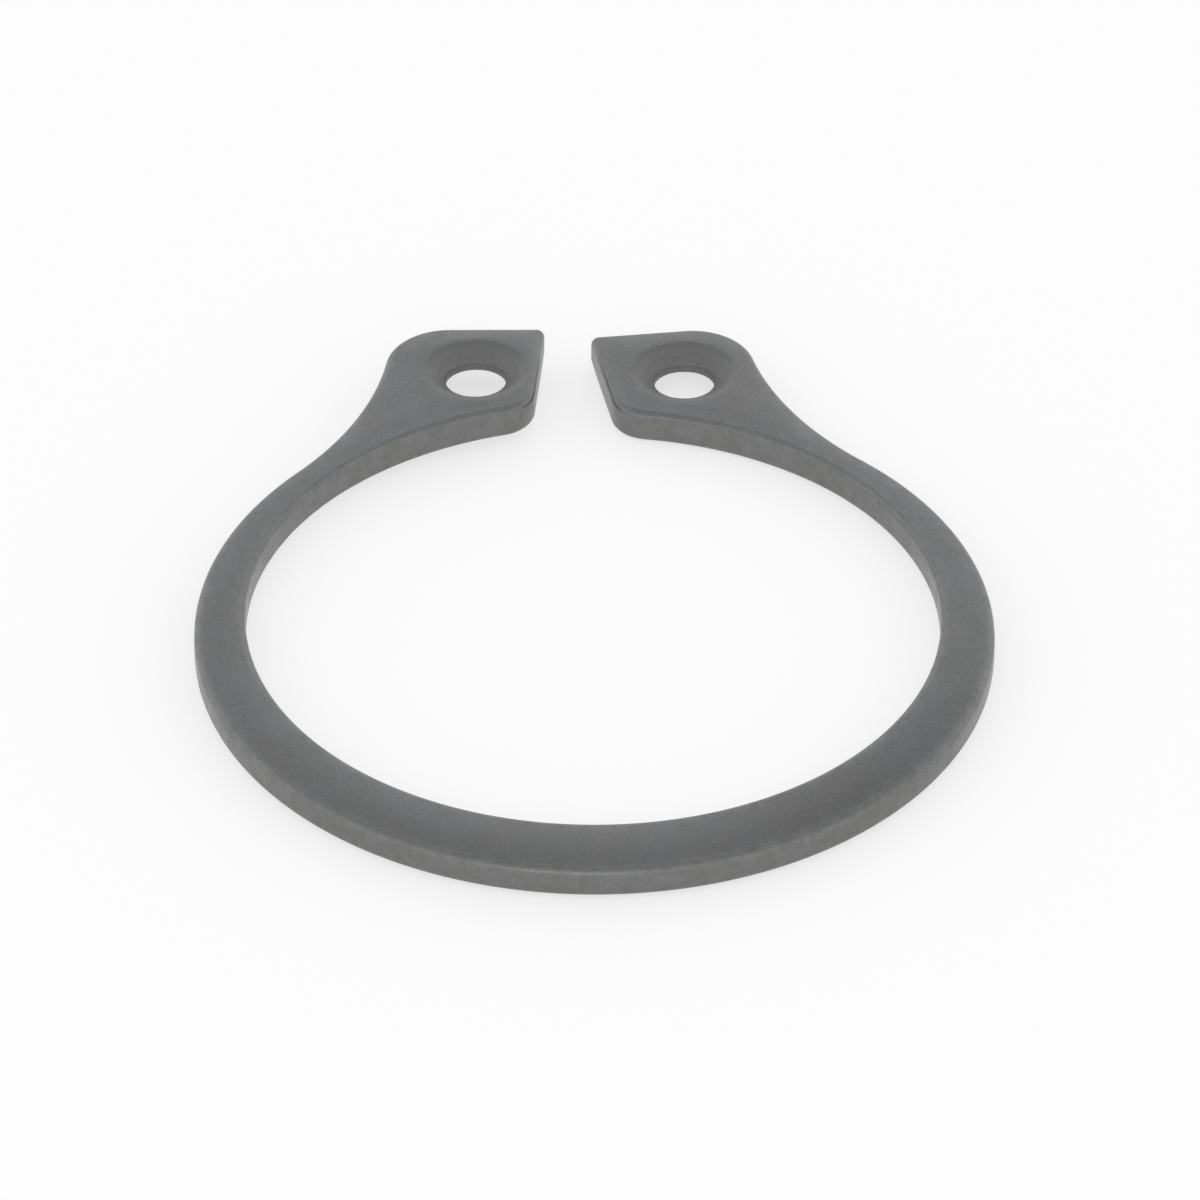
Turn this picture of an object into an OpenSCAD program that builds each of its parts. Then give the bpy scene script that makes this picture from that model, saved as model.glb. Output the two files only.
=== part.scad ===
// External retaining ring for a shaft, stamped from spring steel strip.
// Millimetres, +Z up. The origin is on the bore's axis, in the face the ring lies on.
// The gap and its two lugs point along +Y.

/* [Ring] */
// Diameter of the bore with the ring relaxed
bore_d = 22.2; // [21.6:0.1:22.8]
// Width of the ring opposite the gap
beam_w = 2.4; // [2.25:0.05:3.1]
// Distance of the outside's centre from the bore's axis, away from the gap
outer_shift = 0.75; // [0.5:0.05:1]
// Thickness of the strip
thickness = 1.2; // [1:0.05:1.6]
// Radius of the tumbled edges
edge_r = 0.2; // [0.1:0.05:0.3]

/* [Gap] */
// Width of the gap between the lugs' outer corners
gap_w = 1.5; // [1:0.1:2]
// Lean of each gap face, which opens the gap towards the bore
gap_lean = 8; // [4:0.5:10]
// Radius of the corners where the gap meets the bore
gap_corner_r = 1.3; // [0.6:0.1:1.4]

/* [Lugs] */
// Height of the lugs' outer corners above the bore's edge, at the gap
lug_h = 4.55; // [4.3:0.05:5.2]
// Rise of a lug's straight outer edge, away from the gap
lug_rise = 3.5; // [0:0.5:6]
// Length of a lug's straight outer edge
lug_edge = 3.2; // [3:0.1:3.8]
// Radius of a lug's outer shoulder
shoulder_r = 2.1; // [1.5:0.1:2.4]
// Radius of the hollow that runs from the shoulder into the ring
hollow_r = 12.6; // [9:0.2:16]

/* [Plier holes] */
// Diameter of the plier holes
hole_d = 2; // [1.6:0.1:2.2]
// Distance between the centres of the two holes
hole_spacing = 6.95; // [6.75:0.05:7.15]
// Height of the holes' centres above the bore's edge
hole_h = 2.15; // [2:0.05:2.3]
// Sideways offset of the pair of holes from the gap's middle
hole_offset = 0.3; // [-0.3:0.05:0.3]
// Depth of the bevel at each mouth of a hole
bevel_depth = 0.45; // [0.1:0.05:0.45]
// Slope of the bevel against the ring's faces
bevel_slope = 36; // [34:2:60]

/* [Hidden] */
$fn = 120;
steel = [0.42, 0.43, 0.42];
bore_r = bore_d / 2;
outer_r = bore_r + beam_w - outer_shift;
// Facets of the tumbled edges, and overshoot of the cutting shapes past the faces
edge_fn = 32;
over = 1;
// How far each arc of the outline runs into the next, so that they cross and don't just touch
overlap = 0.005;

function angle_of(v) = atan2(v[1], v[0]);
// Centre of a circle at distance a from p and b from q, to the right of the way from p to q
function meet(p, a, q, b) =
    let (d = norm(q - p), k = (a * a - b * b + d * d) / (2 * d), w = (q - p) / d)
    p + w * k + [w[1], -w[0]] * sqrt(a * a - k * k);

// Outside of the right half: straight lug edge, shoulder, hollow and round, each smooth to the next
outer_c = [0, -outer_shift];
edge_along = [cos(lug_rise), sin(lug_rise)];
edge_out = [-sin(lug_rise), cos(lug_rise)];
lug_corner = [gap_w / 2, bore_r + lug_h];
edge_start = lug_corner - edge_along * gap_w;
edge_end = lug_corner + edge_along * lug_edge;
shoulder_c = edge_end - edge_out * (shoulder_r - overlap);
hollow_c = meet(outer_c, outer_r + hollow_r - overlap, shoulder_c, shoulder_r + hollow_r - overlap);

// Right gap face, and the rounded corner between it and the bore
face_in = [sin(gap_lean), -cos(gap_lean)];
face_side = [cos(gap_lean), sin(gap_lean)];
corner_line = lug_corner + face_side * (gap_corner_r - overlap);
corner_reach = sqrt(pow(bore_r + gap_corner_r - overlap, 2) - pow(norm(corner_line), 2)
    + pow(corner_line * face_in, 2));
corner_c = corner_line - face_in * (corner_line * face_in + corner_reach);

// Half section of a steel edge, w wide, with its rounded end at the axis
module edge_section(w) {
    translate([-w, 0]) square([w - edge_r, thickness]);
    translate([-w, edge_r]) square([w, thickness - 2 * edge_r]);
    for (z = [edge_r, thickness - edge_r])
        translate([-edge_r, z]) circle(edge_r, $fn = edge_fn);
}

// Steel disc with rounded rims
module steel_disc(centre, r) {
    translate(centre) rotate_extrude() intersection() {
        translate([r, 0]) edge_section(r + edge_r);
        square([r, thickness]);
    }
}

// Round cut that leaves the steel around it with rounded rims
module round_cut(centre, r) {
    translate(centre) rotate_extrude() difference() {
        translate([0, -over]) square([r + edge_r, thickness + 2 * over]);
        translate([r, 0]) mirror([1, 0]) edge_section(3 * edge_r);
    }
}

// Straight cut that leaves a rounded edge on the steel, which is on the right of the way from p to q
module straight_cut(p, q) {
    translate(p) rotate([0, 0, angle_of(q - p)]) rotate([90, 0, 90])
        linear_extrude(norm(q - p)) difference() {
            translate([-edge_r, -over]) square([edge_r + over, thickness + 2 * over]);
            edge_section(3 * edge_r);
        }
}

// Right lug, with the web that the hollow leaves between it and the round
module lug() {
    difference() {
        linear_extrude(thickness)
            polygon([edge_start, edge_end, shoulder_c, hollow_c, outer_c, [edge_start[0], outer_c[1]]]);
        straight_cut(edge_start - edge_along * over, edge_end + edge_along * over);
        round_cut(hollow_c, hollow_r);
    }
    steel_disc(shoulder_c, shoulder_r);
}

// Right half of the gap. It also takes away the lug's sharp corner at the bore, where outline() puts
// a rounded one
module gap_cut() {
    straight_cut(corner_c - face_side * gap_corner_r + face_in * over, lug_corner - face_in * over);
    translate([0, 0, -over]) linear_extrude(thickness + 2 * over) {
        polygon([[-overlap, 0], corner_c - face_side * gap_corner_r + face_in * over,
            lug_corner - face_in * over, [-overlap, lug_corner[1] + over]]);
        polygon([corner_c, [0, 0], [-overlap, corner_c[1] - corner_c[0] * tan(gap_lean)]]);
    }
}

// Plier hole with a bevel at each mouth
module plier_hole() {
    mouth_r = hole_d / 2 + (over + bevel_depth) / tan(bevel_slope);
    translate([0, 0, -over]) cylinder(h = thickness + 2 * over, d = hole_d);
    translate([0, 0, -over]) cylinder(h = over + bevel_depth, r1 = mouth_r, r2 = hole_d / 2);
    translate([0, 0, thickness - bevel_depth])
        cylinder(h = over + bevel_depth, r1 = hole_d / 2, r2 = mouth_r);
}

// Ring with its two lugs, before the holes
module outline() {
    difference() {
        union() {
            steel_disc(outer_c, outer_r);
            lug();
            mirror([1, 0, 0]) lug();
        }
        round_cut([0, 0], bore_r);
        gap_cut();
        mirror([1, 0, 0]) gap_cut();
    }
    steel_disc(corner_c, gap_corner_r);
    mirror([1, 0, 0]) steel_disc(corner_c, gap_corner_r);
}

module retaining_ring() {
    color(steel) difference() {
        outline();
        for (side = [-1, 1])
            translate([hole_offset + side * hole_spacing / 2, bore_r + hole_h]) plier_hole();
    }
}

retaining_ring();
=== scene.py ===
import math

import bpy
import numpy as np
from mathutils import Matrix, Vector
from mathutils.geometry import delaunay_2d_cdt


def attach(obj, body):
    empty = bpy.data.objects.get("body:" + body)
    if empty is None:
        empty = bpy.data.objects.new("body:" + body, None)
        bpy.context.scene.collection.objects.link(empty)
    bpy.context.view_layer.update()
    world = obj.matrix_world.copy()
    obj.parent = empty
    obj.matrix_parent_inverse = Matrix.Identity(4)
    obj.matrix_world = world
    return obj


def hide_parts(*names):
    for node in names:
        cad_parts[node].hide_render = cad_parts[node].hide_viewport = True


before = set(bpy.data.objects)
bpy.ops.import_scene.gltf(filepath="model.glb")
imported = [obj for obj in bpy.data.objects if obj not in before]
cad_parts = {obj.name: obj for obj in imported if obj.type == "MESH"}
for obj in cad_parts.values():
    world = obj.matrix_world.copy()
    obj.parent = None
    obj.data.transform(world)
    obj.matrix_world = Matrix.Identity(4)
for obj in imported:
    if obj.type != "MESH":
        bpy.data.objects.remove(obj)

scene = bpy.context.scene
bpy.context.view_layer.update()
mm = 0.001  # the ring's sizes are written in millimetres, and Blender works in metres
print("frame loaded")


# A node tree. Its one method adds a node of any type, makes its settings and then fills its sockets
class Graph:
    def __init__(self, tree):
        self.tree = tree

    def node(self, kind, settings=None, sockets=None, out=0):
        made = self.tree.nodes.new(kind)
        for name, value in (settings or {}).items():
            setattr(made, name, value)
        for name, value in (sockets or {}).items():
            for one in value if isinstance(value, list) else [value]:
                if isinstance(one, Wire):
                    self.tree.links.new(one.socket, made.inputs[name])
                else:
                    made.inputs[name].default_value = one
        return Wire(self, made.outputs[out] if made.outputs else None)


# A socket, on which sums are written as plain Python and become Math nodes
class Wire:
    def __init__(self, graph, socket):
        self.graph, self.socket = graph, socket

    def math(self, operation, first, second=0.0, third=0.0, clamp=False):
        return self.graph.node("ShaderNodeMath", {"operation": operation, "use_clamp": clamp},
                               {0: first, 1: second, 2: third})

    def __add__(self, other): return self.math("ADD", self, other)
    def __radd__(self, other): return self.math("ADD", other, self)
    def __sub__(self, other): return self.math("SUBTRACT", self, other)
    def __rsub__(self, other): return self.math("SUBTRACT", other, self)
    def __mul__(self, other): return self.math("MULTIPLY", self, other)
    def __rmul__(self, other): return self.math("MULTIPLY", other, self)
    def __truediv__(self, other): return self.math("DIVIDE", self, other)
    def __pow__(self, other): return self.math("POWER", self, other)
    def below(self, other): return self.math("LESS_THAN", self, other)
    def atLeast(self, other): return self.math("MAXIMUM", self, other)
    def clamped(self): return self.math("ADD", self, 0.0, clamp=True)
    def root(self): return self.math("SQRT", self)


# Millimetres and degrees, the outline and the bevels as in the part's source
ringSizes = {
    "boreRadius": 11.1, "outerRadius": 12.75, "outerShift": 0.75, "thickness": 1.2,
    "gapWidth": 1.5, "gapLean": 8, "gapCornerRadius": 1.3,
    "lugHeight": 4.55, "lugRise": 3.5, "lugEdge": 3.2, "shoulderRadius": 2.1, "hollowRadius": 12.6,
    "holeRadius": 1.0, "holeSpacing": 6.95, "holeHeight": 2.15, "holeOffset": 0.3,
    "bevelDepth": 0.45, "bevelSlope": 36,
    # what tumbling has rounded: the edges, the lugs' tips, and the holes' throats and mouths
    "edgeRadius": 0.23, "tipRadius": 0.26, "throatRadius": 0.07, "mouthSoftness": 0.22,
    # both faces fall away a little along every edge, and more along the outside
    "crownWidth": 1.25, "crownDrop": 0.04, "flankWidth": 1.6, "flankDrop": 0.065,
    # the left end is sprung up by a hair, so the ring lies on its beam and its right lug: the slopes
    # of the plane under it, and the plane's height at the axis
    "springLift": 0.4, "restSlopeX": -0.00561, "restSlopeY": -0.00734, "restHeight": -0.0998,
    # the mesh: steps along the outline and at most so many degrees, points round a hole, rows over a
    # rounded edge, the row inside it, rows over a bevel as shares of its width, the middle's grid with
    # its rows' distance as a share of that, and how close two points may be before they count as one: on
    # the outline, in the filling and in the mesh
    "step": 0.14, "turnStep": 6, "holePoints": 96, "edgeRows": 10, "innerRow": 0.25,
    "bevelRows": (0.2, 0.35, 0.5, 0.6, 0.68, 0.76, 0.84, 0.92, 1.0, 1.08, 1.16, 1.24),
    "grid": 0.15, "gridRow": 0.866, "same": 0.0001, "fillSame": 0.000001, "merge": 0.002,
}


def pointAt(angle, radius=1.0):
    return np.array([math.cos(angle), math.sin(angle)]) * radius


def angleOf(v):
    return math.atan2(v[1], v[0])


# Points along an arc with their outward normals. The side is -1 where the steel lies outside the circle
def traceArc(s, centre, radius, start, end, side=1):
    finest = min(s["step"] / radius, math.radians(s["turnStep"]))
    count = max(3, math.ceil(abs(end - start) / finest))
    return [(centre + pointAt(a, radius), side * pointAt(a)) for a in np.linspace(start, end, count + 1)]


def traceLine(s, start, end, outward):
    count = max(2, math.ceil(np.linalg.norm(end - start) / s["step"]))
    return [(start + (end - start) * t, outward) for t in np.linspace(0, 1, count + 1)]


# Right half of the outline, from the ring's lowest point over the lug and back along the bore
def traceHalf(s):
    quarter, half, full = math.pi / 2, math.pi, 2 * math.pi
    rise, lean = math.radians(s["lugRise"]), math.radians(s["gapLean"])
    along, out = pointAt(rise), pointAt(rise + quarter)
    faceIn, faceSide = np.array([math.sin(lean), -math.cos(lean)]), pointAt(lean)
    outer = np.array([0, -s["outerShift"]])
    corner = np.array([s["gapWidth"] / 2, s["boreRadius"] + s["lugHeight"]])
    shoulder = corner + along * s["lugEdge"] - out * s["shoulderRadius"]
    # the hollow touches the round outside and the shoulder
    reachOuter = s["outerRadius"] + s["hollowRadius"]
    reachShoulder = s["shoulderRadius"] + s["hollowRadius"]
    far = np.linalg.norm(shoulder - outer)
    way = (shoulder - outer) / far
    ahead = (reachOuter ** 2 - reachShoulder ** 2 + far ** 2) / (2 * far)
    aside = math.sqrt(reachOuter ** 2 - ahead ** 2)
    hollow = outer + way * ahead + np.array([way[1], -way[0]]) * aside
    # the gap's corner touches the gap's face and the bore
    line = corner + faceSide * s["gapCornerRadius"]
    reachCorner = s["boreRadius"] + s["gapCornerRadius"]
    depth = line @ faceIn
    gapCorner = line - faceIn * (depth + math.sqrt(reachCorner ** 2 - line @ line + depth ** 2))
    # the tip touches the lug's outer edge and the gap's face
    tip = corner + np.linalg.solve(np.array([out, faceSide]), np.array([-s["tipRadius"], s["tipRadius"]]))
    arcs = [
        traceArc(s, outer, s["outerRadius"], -quarter, angleOf(hollow - outer)),
        traceArc(s, hollow, s["hollowRadius"], angleOf(outer - hollow) % full,
                 angleOf(shoulder - hollow) % full, side=-1),
        traceArc(s, shoulder, s["shoulderRadius"], angleOf(hollow - shoulder), rise + quarter),
        traceLine(s, shoulder + out * s["shoulderRadius"], tip + out * s["tipRadius"], out),
        traceArc(s, tip, s["tipRadius"], rise + quarter, lean + half),
        traceLine(s, tip - faceSide * s["tipRadius"], gapCorner - faceSide * s["gapCornerRadius"],
                  -faceSide),
        traceArc(s, gapCorner, s["gapCornerRadius"], lean + half, angleOf(-gapCorner) % full),
        traceArc(s, np.zeros(2), s["boreRadius"], angleOf(gapCorner), -quarter, side=-1),
    ]
    return [spot for arc in arcs for spot in arc]


def traceOutline(s):
    half = traceHalf(s)
    flip = np.array([-1, 1])
    loop = half + [(p * flip, n * flip) for p, n in reversed(half)]
    return [spot for k, spot in enumerate(loop) if np.linalg.norm(spot[0] - loop[k - 1][0]) > s["same"]]


# Adds rows of points that follow a loop into the steel, and the faces between them
def addRows(points, faces, loop, rows):
    count = len(loop)
    for row, inset in enumerate(rows):
        base = len(points)
        points += [p - n * inset for p, n in loop]
        if row:
            faces += [(base - count + k, base - count + (k + 1) % count, base + (k + 1) % count, base + k)
                      for k in range(count)]
    return list(range(base, base + count))


# Flat plan of the ring, on which each point holds its distance to the outline, the outside and the holes
def drawPlan(s):
    outline = traceOutline(s)
    edge, outward = np.array([p for p, n in outline]), np.array([n for p, n in outline])
    outside = edge[(edge * outward).sum(1) > 0]  # there the outline faces away from the bore's centre
    holeAt = [np.array([s["holeOffset"] + side * s["holeSpacing"] / 2, s["boreRadius"] + s["holeHeight"]])
              for side in (-1, 1)]
    turns = np.linspace(2 * math.pi, 0, s["holePoints"], endpoint=False)

    def depthOf(spots):
        nearest = np.array([np.argmin(((edge - spot) ** 2).sum(1)) for spot in spots])
        return -((spots - edge[nearest]) * outward[nearest]).sum(1)

    def roomAt(spots):
        return np.min([np.linalg.norm(spots - c, axis=1) for c in holeAt], 0) - s["holeRadius"]

    # rows over the rounded edges, the throats and the bevels
    bend = 1 - np.cos(np.linspace(0, math.pi / 2, s["edgeRows"]))
    edgeRows = list(s["edgeRadius"] * bend) + [s["innerRow"]]
    bevelWidth = s["bevelDepth"] / math.tan(math.radians(s["bevelSlope"]))
    holeRows = list(s["throatRadius"] * bend[::2]) + [bevelWidth * share for share in s["bevelRows"]]
    points, faces = [], []
    rims = [addRows(points, faces, outline, edgeRows)]
    for c in holeAt:
        circle = [(c + pointAt(a, s["holeRadius"]), -pointAt(a)) for a in turns]
        rims.append(addRows(points, faces, circle, holeRows))

    # the middle is filled with an even grid of triangles
    grid = s["grid"]
    lows, highs = edge.min(0), edge.max(0)
    spots = np.array([(x + (k % 2) * grid / 2, y)
                      for k, y in enumerate(np.arange(lows[1], highs[1], grid * s["gridRow"]))
                      for x in np.arange(lows[0], highs[0], grid)])
    spots = spots[(depthOf(spots) > edgeRows[-1] + grid / 2) & (roomAt(spots) > holeRows[-1] + grid / 2)]
    ids = [k for rim in rims for k in rim]
    order = {k: n for n, k in enumerate(ids)}
    sides = [(order[k], order[rim[(i + 1) % len(rim)]]) for rim in rims for i, k in enumerate(rim)]
    flat = [Vector(points[k]) for k in ids] + [Vector(spot) for spot in spots]
    withinOutline = 2  # leaves out the triangles past the outline, though not those in the holes
    verts, _, cells, origins, _, _ = delaunay_2d_cdt(flat, sides, [], withinOutline, s["fillSame"])
    place = []
    for v, origin in zip(verts, origins):
        if origin and origin[0] < len(ids):
            place.append(ids[origin[0]])
        else:
            place.append(len(points))
            points.append(np.array(v))
    points = np.array(points)
    # a triangle with no corner outside a hole's last row lies in the hole
    rim = s["holeRadius"] + holeRows[-1] + s["same"]
    for cell in cells:
        corners = tuple(place[k] for k in cell)
        if all(max(np.linalg.norm(points[k] - c) for k in corners) > rim for c in holeAt):
            faces.append(corners)

    flank = np.array([np.linalg.norm(outside - spot, axis=1).min() for spot in points])
    plan = bpy.data.meshes.new("ringPlan")
    plan.from_pydata([(x * mm, y * mm, 0) for x, y in points], [], faces)
    for name, values in (("inset", depthOf(points)), ("flank", flank), ("mouth", roomAt(points))):
        plan.attributes.new(name, "FLOAT", "POINT").data.foreach_set("value", np.maximum(values, 0) * mm)
    return plan


# What the rule below is given, lengths in metres
def ruleValues(s):
    values = {name: length * mm for name, length in {
        "Thickness": s["thickness"], "Edge Radius": s["edgeRadius"],
        "Crown Width": s["crownWidth"], "Crown Drop": s["crownDrop"],
        "Flank Width": s["flankWidth"], "Flank Drop": s["flankDrop"],
        "Bevel Depth": s["bevelDepth"], "Throat Radius": s["throatRadius"],
        "Mouth Softness": s["mouthSoftness"], "Merge Distance": s["merge"],
        "Spring Lift": s["springLift"], "Rest Height": s["restHeight"]}.items()}
    values["Bevel Slope"] = math.tan(math.radians(s["bevelSlope"]))
    values["Rest Slope X"], values["Rest Slope Y"] = s["restSlopeX"], s["restSlopeY"]
    return values


# The plan's points rise to the upper face and fall to the lower one by their distance to the edges
def ringRule(names):
    tree = bpy.data.node_groups.new("ringRule", "GeometryNodeTree")
    tree.interface.new_socket("Plan", in_out="INPUT", socket_type="NodeSocketGeometry")
    for name in names:
        tree.interface.new_socket(name, in_out="INPUT", socket_type="NodeSocketFloat")
    tree.interface.new_socket("Material", in_out="INPUT", socket_type="NodeSocketMaterial")
    tree.interface.new_socket("Ring", in_out="OUTPUT", socket_type="NodeSocketGeometry")
    graph = Graph(tree)
    entry = tree.nodes.new("NodeGroupInput")
    given = {socket.name: Wire(graph, socket) for socket in entry.outputs if socket.name}
    distance = {name: graph.node("GeometryNodeInputNamedAttribute", {"data_type": "FLOAT"}, {"Name": name})
                for name in ("inset", "flank", "mouth")}

    # how far a surface drops at a rounded edge
    def rounded(away, radius):
        inside = away.below(radius)
        return radius - (away * (2 * radius - away)).atLeast(0.0).root() * inside - radius * (1 - inside)

    # how far it drops along a wide, shallow crown
    def crowned(away, width, drop):
        return drop * (1 - away / width).atLeast(0.0) ** 2

    bevel = given["Bevel Depth"] - distance["mouth"] * given["Bevel Slope"]
    bevel = bevel.math("SMOOTH_MAX", bevel, 0.0, given["Mouth Softness"])
    drop = rounded(distance["inset"], given["Edge Radius"]) \
        + crowned(distance["inset"], given["Crown Width"], given["Crown Drop"]) \
        + crowned(distance["flank"], given["Flank Width"], given["Flank Drop"]) \
        + rounded(distance["mouth"], given["Throat Radius"]) + bevel
    rise = graph.node("ShaderNodeCombineXYZ", None, {"Z": given["Thickness"] - drop})
    upper = graph.node("GeometryNodeSetPosition", None, {"Geometry": given["Plan"], "Offset": rise})
    sink = graph.node("ShaderNodeCombineXYZ", None, {"Z": drop})
    lower = graph.node("GeometryNodeSetPosition", None, {"Geometry": given["Plan"], "Offset": sink})
    lower = graph.node("GeometryNodeFlipFaces", None, {"Mesh": lower})
    # the upper face's open edges, which have one face each, are drawn down as the walls
    shared = 1.5  # between the one face of an open edge and the two of any other
    neighbours = graph.node("GeometryNodeInputMeshEdgeNeighbors")
    position = graph.node("GeometryNodeInputPosition")
    height = graph.node("ShaderNodeSeparateXYZ", None, {"Vector": position}, out="Z")
    down = graph.node("ShaderNodeCombineXYZ", None, {"Z": given["Thickness"] - 2 * height})
    walls = graph.node("GeometryNodeExtrudeMesh", {"mode": "EDGES"}, {
        "Mesh": upper, "Selection": neighbours.below(shared), "Offset": down, "Offset Scale": 1.0})
    whole = graph.node("GeometryNodeJoinGeometry", None, {"Geometry": [walls, lower]})
    whole = graph.node("GeometryNodeMergeByDistance", None, {
        "Geometry": whole, "Distance": given["Merge Distance"]})
    # the spring's twist grows evenly round the ring, and the whole is laid back on what it touches
    x, y = [graph.node("ShaderNodeSeparateXYZ", None, {"Vector": position}, out=axis) for axis in "XY"]
    turn = x.math("ARCTAN2", x * -1, y * -1)
    lift = given["Spring Lift"] * turn / (2 * math.pi) \
        - given["Rest Slope X"] * x - given["Rest Slope Y"] * y - given["Rest Height"]
    offset = graph.node("ShaderNodeCombineXYZ", None, {"Z": lift})
    whole = graph.node("GeometryNodeSetPosition", None, {"Geometry": whole, "Offset": offset})
    whole = graph.node("GeometryNodeSetShadeSmooth", None, {"Geometry": whole, "Shade Smooth": True})
    whole = graph.node("GeometryNodeRealizeInstances", None, {"Geometry": whole})
    whole = graph.node("GeometryNodeSetMaterial", None, {"Geometry": whole, "Material": given["Material"]})
    graph.node("NodeGroupOutput", None, {"Ring": whole})
    return tree


# Phosphated spring steel. Lengths are in millimetres
steelFinish = {
    "metallic": 0.8, "roughness": 0.38,
    # colours of the coat
    "face": (0.172, 0.175, 0.176, 1), "bluish": (0.177, 0.186, 0.197, 1),
    "brown": (0.182, 0.175, 0.158, 1), "dark": (0.07, 0.071, 0.073, 1),
    # edge is a lighter colour for the rounded edges, partly wear and partly painted light that offsets
    # their shade
    "wall": (0.190, 0.194, 0.182, 1), "rim": (0.25, 0.256, 0.262, 1), "edge": (0.27, 0.274, 0.27, 1),
    # mouth is a lighter colour painted in the holes' mouths to lift their shade: painted light
    "mouth": (0.24, 0.244, 0.24, 1), "pit": (0.105, 0.107, 0.1, 1), "pale": (0.225, 0.23, 0.2, 1),
    # how strongly each is laid on
    "brownShare": 0.5, "darkShare": 0.3, "wallShare": 0.8, "rimShare": 0.45, "edgeWearAndPaintedLightShare": 0.6,
    "mouthPaintedLightShare": 0.85, "pitShare": 0.36, "speckShare": 0.4, "warmShare": 0.4,
    "paleShare": 0.36, "paleWallShare": 0.4,
    # where bands begin and end, by the distance to the outline, to a hole and to the dark place
    "wallBand": (0.01, 0.08), "rimBand": (0.02, 0.72), "edgeBand": (0.03, 0.1), "edgeEnd": (0.2, 0.3),
    "mouthBand": (0.4, 0.9), "darkPlace": (8.5, -9.5, 1.0), "darkBand": (1.0, 8.5),
    # noises: size, detail, roughness and seed
    "noises": {"bluish": (2.4, 3, 0.6, 0), "brown": (1.1, 4, 0.65, 5), "rim": (0.5, 3, 0.6, 2),
               "edge": (0.35, 3, 0.6, 4), "grain": (0.06, 2, 0.6, 9), "blotch": (0.22, 3, 0.7, 1),
               "rough": (0.7, 3, 0.6, 3), "lumps": (0.16, 2, 0.5, 7)},
    # the values of a noise from which a colour begins to show, and at which it shows fully
    "bluishRange": (0.42, 0.68), "brownRange": (0.5, 0.75), "rimRange": (0.3, 0.7),
    "edgeRange": (0.15, 0.6), "pitRange": (0.5, 0.74), "speckRange": (0.5, 0.3),
    "warmRange": (0.52, 0.7), "paleRange": (0.46, 0.3),
    # what makes the surface rougher or smoother, and the bumps of the crystals
    "roughPatches": 0.16, "roughGrain": 0.15, "rimPolish": 0.06, "edgeRough": 0.1, "mouthRough": 0.2,
    "grainBump": 0.5, "bumpStrength": 0.25, "bumpDistance": 0.01,
}


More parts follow.
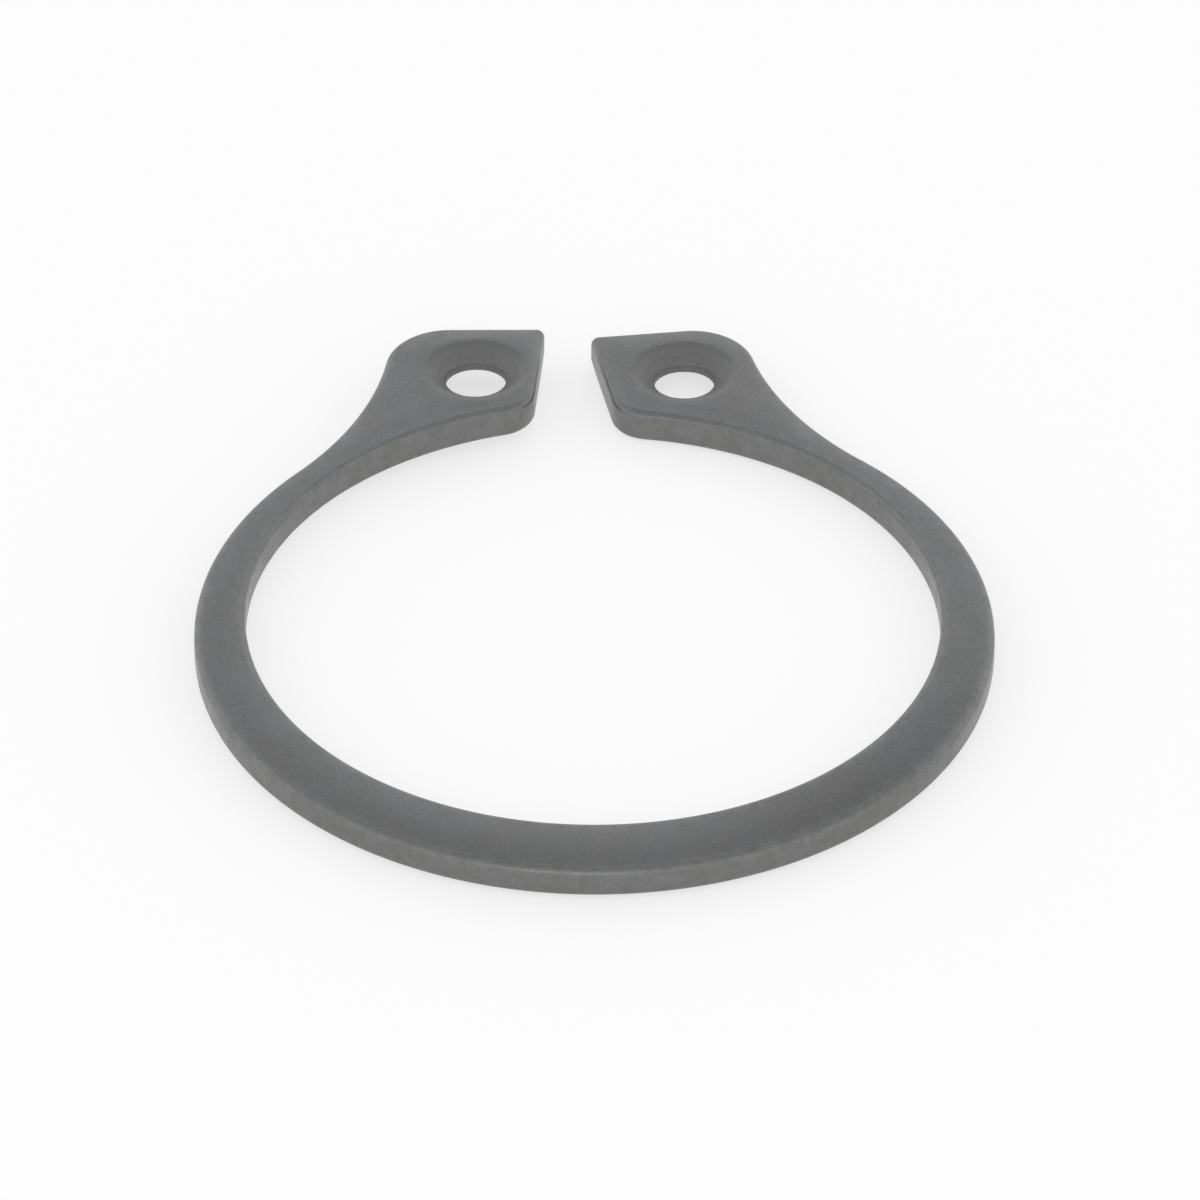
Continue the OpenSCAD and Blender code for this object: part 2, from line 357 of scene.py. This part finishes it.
def steelMaterial(f):
    steel = bpy.data.materials.new("springSteelFinish")
    steel.use_nodes = True
    steel.node_tree.nodes.clear()
    graph = Graph(steel.node_tree)
    where = graph.node("ShaderNodeTexCoord", out="Object")
    inset, mouth = [graph.node("ShaderNodeAttribute", {"attribute_name": name}, out="Fac")
                    for name in ("inset", "mouth")]
    noise = {name: graph.node("ShaderNodeTexNoise", {"noise_dimensions": "4D"}, {
        "Vector": where, "W": seed, "Scale": 1 / (size * mm), "Detail": detail, "Roughness": roughness})
        for name, (size, detail, roughness, seed) in f["noises"].items()}

    def between(value, limits, unit=1.0):
        return graph.node("ShaderNodeMapRange", {"interpolation_type": "SMOOTHSTEP"}, {
            "Value": value, "From Min": limits[0] * unit, "From Max": limits[1] * unit})

    def blend(amount, under, over):
        return graph.node("ShaderNodeMix", {"data_type": "RGBA"}, {0: amount, 6: under, 7: over}, out=2)

    wallMask = 1 - between(inset, f["wallBand"], mm)
    rimMask = (1 - between(inset, f["rimBand"], mm)) * between(noise["rim"], f["rimRange"])
    # the rounded edges, where wear is shown and painted light offsets their shade
    edgeWearAndPaintedLightMask = between(inset, f["edgeBand"], mm) * (1 - between(inset, f["edgeEnd"], mm))
    # the holes' mouths, where painted light lifts their shade
    mouthPaintedLightMask = 1 - between(mouth, f["mouthBand"], mm)
    colour = blend(between(noise["bluish"], f["bluishRange"]), f["face"], f["bluish"])
    colour = blend(between(noise["brown"], f["brownRange"]) * f["brownShare"], colour, f["brown"])
    # the colour is darker round a place on the right side of the beam
    darkPlace = tuple(length * mm for length in f["darkPlace"])
    away = graph.node("ShaderNodeVectorMath", {"operation": "DISTANCE"}, {
        0: where, 1: darkPlace}, out="Value")
    colour = blend((1 - between(away, f["darkBand"], mm)) * f["darkShare"], colour, f["dark"])
    colour = blend(wallMask * f["wallShare"], colour, f["wall"])
    colour = blend(rimMask * f["rimShare"], colour, f["rim"])
    # partly wear: it has worn thin on the rounded edges; partly painted light: the lighter colour there
    # also offsets the shade of their dark reflection
    colour = blend(edgeWearAndPaintedLightMask * between(noise["edge"], f["edgeRange"]) * f["edgeWearAndPaintedLightShare"], colour, f["edge"])
    # painted light: a lighter colour in the holes' mouths lifts their shade; the mouths are also rougher
    colour = blend(mouthPaintedLightMask * f["mouthPaintedLightShare"], colour, f["mouth"])
    # its crystals: fine dark and pale specks, warmer on the cut walls
    colour = blend(between(noise["grain"], f["pitRange"]) * f["pitShare"], colour, f["pit"])
    colour = blend(between(noise["grain"], f["speckRange"]) * f["speckShare"], colour, f["rim"])
    colour = blend(between(noise["blotch"], f["warmRange"]) * f["warmShare"], colour, f["brown"])
    paleAmount = f["paleShare"] + f["paleWallShare"] * wallMask
    colour = blend(between(noise["blotch"], f["paleRange"]) * paleAmount, colour, f["pale"])
    middle = 0.5  # a noise varies around it
    rough = f["roughness"] + (noise["rough"] - middle) * f["roughPatches"] \
        + (noise["grain"] - middle) * f["roughGrain"] - rimMask * f["rimPolish"] \
        + edgeWearAndPaintedLightMask * f["edgeRough"] + mouthPaintedLightMask * f["mouthRough"]
    bump = graph.node("ShaderNodeBump", None, {
        "Strength": f["bumpStrength"], "Distance": f["bumpDistance"] * mm,
        "Height": noise["grain"] * f["grainBump"] + noise["lumps"]})
    shader = graph.node("ShaderNodeBsdfPrincipled", None, {
        "Base Color": colour, "Roughness": rough, "Normal": bump, "Metallic": f["metallic"]})
    graph.node("ShaderNodeOutputMaterial", None, {"Surface": shader})
    return steel


def makeRing(s, material):
    plan = bpy.data.objects.new("ringPlan", drawPlan(s))
    scene.collection.objects.link(plan)
    values = ruleValues(s)
    rule = plan.modifiers.new("ringRule", "NODES")
    rule.node_group = ringRule(list(values))
    inputs = {item.name: item.identifier for item in rule.node_group.interface.items_tree
              if item.in_out == "INPUT"}
    for name, value in values.items():
        rule[inputs[name]] = value
    rule[inputs["Material"]] = material
    depsgraph = bpy.context.evaluated_depsgraph_get()
    mesh = bpy.data.meshes.new_from_object(plan.evaluated_get(depsgraph), depsgraph=depsgraph)
    mesh.name = "ringMesh"
    bpy.data.objects.remove(plan)
    ring = bpy.data.objects.new("ring", mesh)
    scene.collection.objects.link(ring)
    return ring


ring = makeRing(ringSizes, steelMaterial(steelFinish))
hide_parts("retaining_ring")
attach(ring, "root")
print("ring made:", len(ring.data.vertices), "points,", len(ring.data.polygons), "faces")


# Metres and watts. The world is white round the horizon and greyer overhead, between the two heights
studio = {
    "floorReach": 4.0, "floorDrop": 0.00002, "floorShade": 0.5, "floorGlow": 0.635,
    "horizon": 1.05, "overhead": 0.56, "horizonTop": 0.46, "overheadFrom": 0.72, "fill": 0.9,
    "keyPower": 0.05, "keySize": 0.3, "keyAt": (0.04, 0.45, 0.3),
    "frontPower": 0.16, "frontSize": 0.3, "frontAt": (-0.08, -0.5, 0.26),
}
white = (1, 1, 1, 1)


# 1 for what is seen, straight or in a shiny surface, and 0 for what only lights the scene
def seenRays(graph):
    paths = graph.node("ShaderNodeLightPath").socket.node.outputs
    camera, glossy, transmission = [Wire(graph, paths[name]) for name in (
        "Is Camera Ray", "Is Glossy Ray", "Is Transmission Ray")]
    return (camera + glossy + transmission).clamped()


# A pale floor that keeps the ring's shadow
def makeFloor(s):
    reach, low = s["floorReach"], -s["floorDrop"]
    mesh = bpy.data.meshes.new("floorMesh")
    corners = [(-reach, -reach, low), (reach, -reach, low), (reach, reach, low), (-reach, reach, low)]
    mesh.from_pydata(corners, [], [(0, 1, 2, 3)])
    paper = bpy.data.materials.new("floorPaper")
    paper.use_nodes = True
    paper.node_tree.nodes.clear()
    graph = Graph(paper.node_tree)
    shade = s["floorShade"]
    matte = graph.node("ShaderNodeBsdfDiffuse", None, {"Color": (shade, shade, shade, 1)})
    glow = graph.node("ShaderNodeEmission", None, {
        "Color": white, "Strength": seenRays(graph) * s["floorGlow"]})
    both = graph.node("ShaderNodeAddShader", None, {0: matte, 1: glow})
    graph.node("ShaderNodeOutputMaterial", None, {"Surface": both})
    mesh.materials.append(paper)
    floor = bpy.data.objects.new("floor", mesh)
    scene.collection.objects.link(floor)


# Like a light tent that is open at the top
def makeWorld(s):
    world = bpy.data.worlds.new("lightTent")
    scene.world = world
    world.use_nodes = True
    world.node_tree.nodes.clear()
    graph = Graph(world.node_tree)
    direction = graph.node("ShaderNodeTexCoord", out="Generated")
    up = graph.node("ShaderNodeSeparateXYZ", None, {"Vector": direction}, out="Z")
    tent = graph.node("ShaderNodeMapRange", {"interpolation_type": "SMOOTHSTEP"}, {
        "Value": up, "From Min": s["horizonTop"], "From Max": s["overheadFrom"],
        "To Min": s["horizon"], "To Max": s["overhead"]})
    level = tent * (s["fill"] + (1 - s["fill"]) * seenRays(graph))
    back = graph.node("ShaderNodeBackground", None, {"Color": white, "Strength": level})
    graph.node("ShaderNodeOutputWorld", None, {"Surface": back})


def makeLamp(name, at, size, power):
    light = bpy.data.lights.new(name, "AREA")
    light.shape, light.size, light.energy = "DISK", size, power
    lamp = bpy.data.objects.new(name, light)
    lamp.location = at
    lamp.rotation_euler = (-Vector(at)).to_track_quat("-Z", "Y").to_euler()
    scene.collection.objects.link(lamp)


makeFloor(studio)
makeWorld(studio)
makeLamp("keyLamp", studio["keyAt"], studio["keySize"], studio["keyPower"])
makeLamp("frontLamp", studio["frontAt"], studio["frontSize"], studio["frontPower"])
print("studio lit")


# Where the camera looks, the way back from there to it, and how it is held
view = {
    "target": (0.000338, 0.002114, 0.0), "back": (-0.04664, -0.80726, 0.58835), "distance": 0.2547,
    "roll": 0.167, "lens": 237.0, "sensor": 36.0, "nearest": 0.01,
}


def makeCamera(v):
    back = Vector(v["back"]).normalized()
    level = Vector((0, 0, 1)).cross(back).normalized()
    above = back.cross(level)
    roll = math.radians(v["roll"])
    right = level * math.cos(roll) + above * math.sin(roll)
    up = above * math.cos(roll) - level * math.sin(roll)
    lens = bpy.data.cameras.new("camera")
    lens.lens, lens.sensor_width, lens.clip_start = v["lens"], v["sensor"], v["nearest"]
    place = Matrix((right, up, back)).transposed().to_4x4()
    place.translation = Vector(v["target"]) + back * v["distance"]
    camera = bpy.data.objects.new("camera", lens)
    camera.matrix_world = place
    scene.collection.objects.link(camera)
    scene.camera = camera


makeCamera(view)
scene.view_settings.view_transform = "Standard"

print("scene done")
